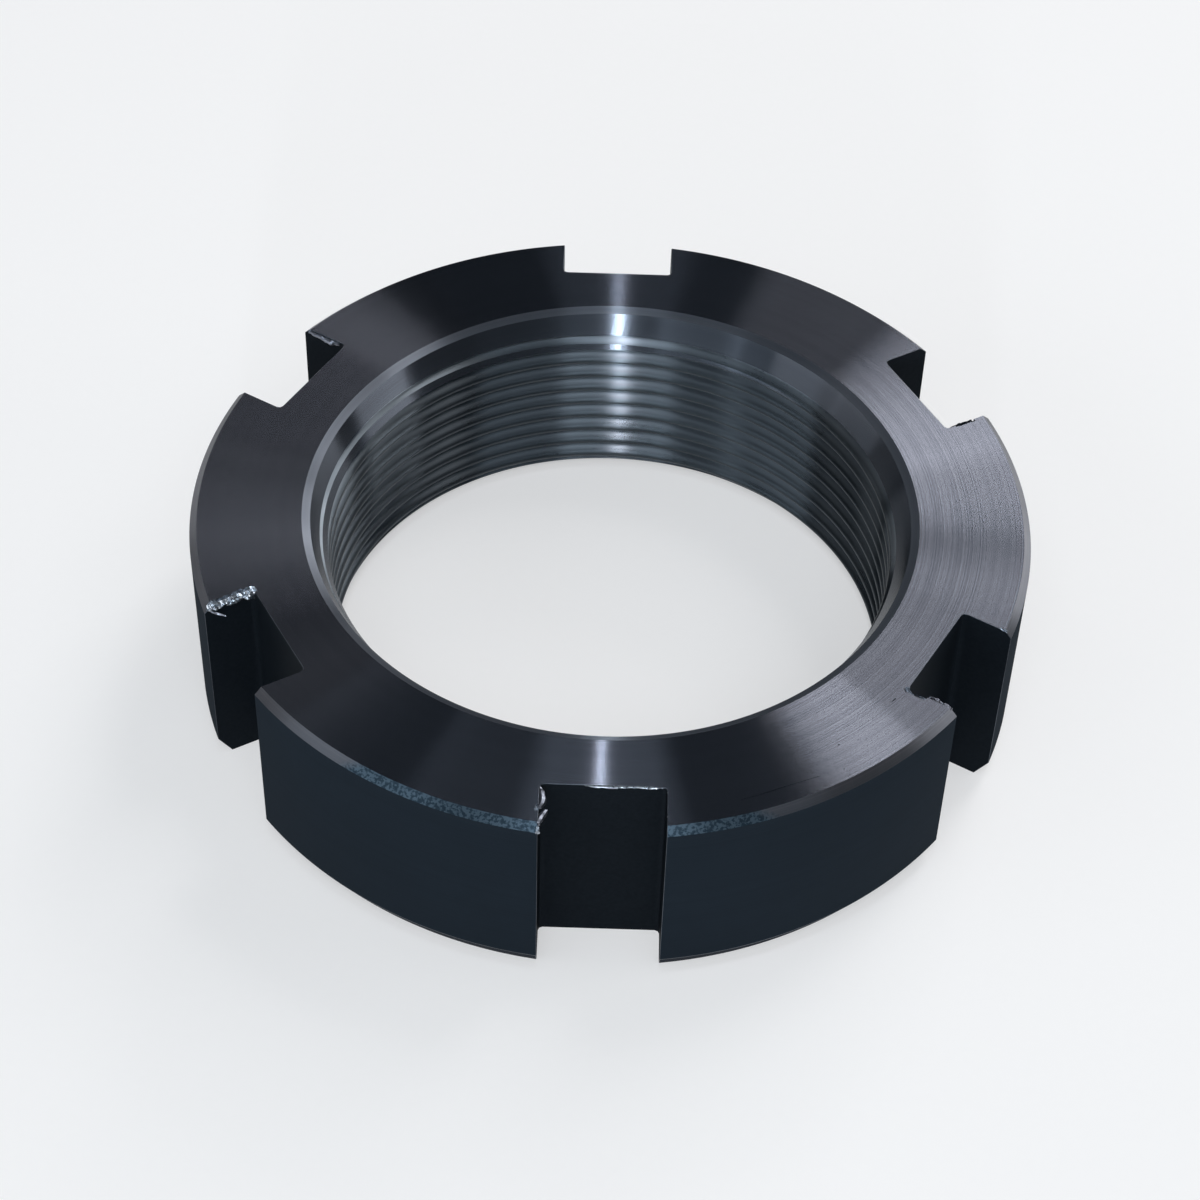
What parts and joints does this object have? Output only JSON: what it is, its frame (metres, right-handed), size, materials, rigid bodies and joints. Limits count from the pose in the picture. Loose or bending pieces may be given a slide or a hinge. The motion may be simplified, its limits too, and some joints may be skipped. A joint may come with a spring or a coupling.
{
  "type": "axle nut",
  "caption": "Round slotted axle nut: a thick steel ring with a fine threaded bore and square spanner slots milled through its rim.",
  "frame": {"origin": "centre of the lower face, on the bore's axis", "axes": "+Z is the bore's axis, from the face that seats towards the face with the wide lead-in; the first spanner slot opens towards -Y"},
  "size_m": [0.086, 0.0852, 0.022],
  "materials": {
    "machined_steel": "turned and milled dark steel, fine concentric tool marks, lightly oiled"
  },
  "bodies": {
    "root": {"axle_nut": "machined_steel"}
  },
  "joints": []
}
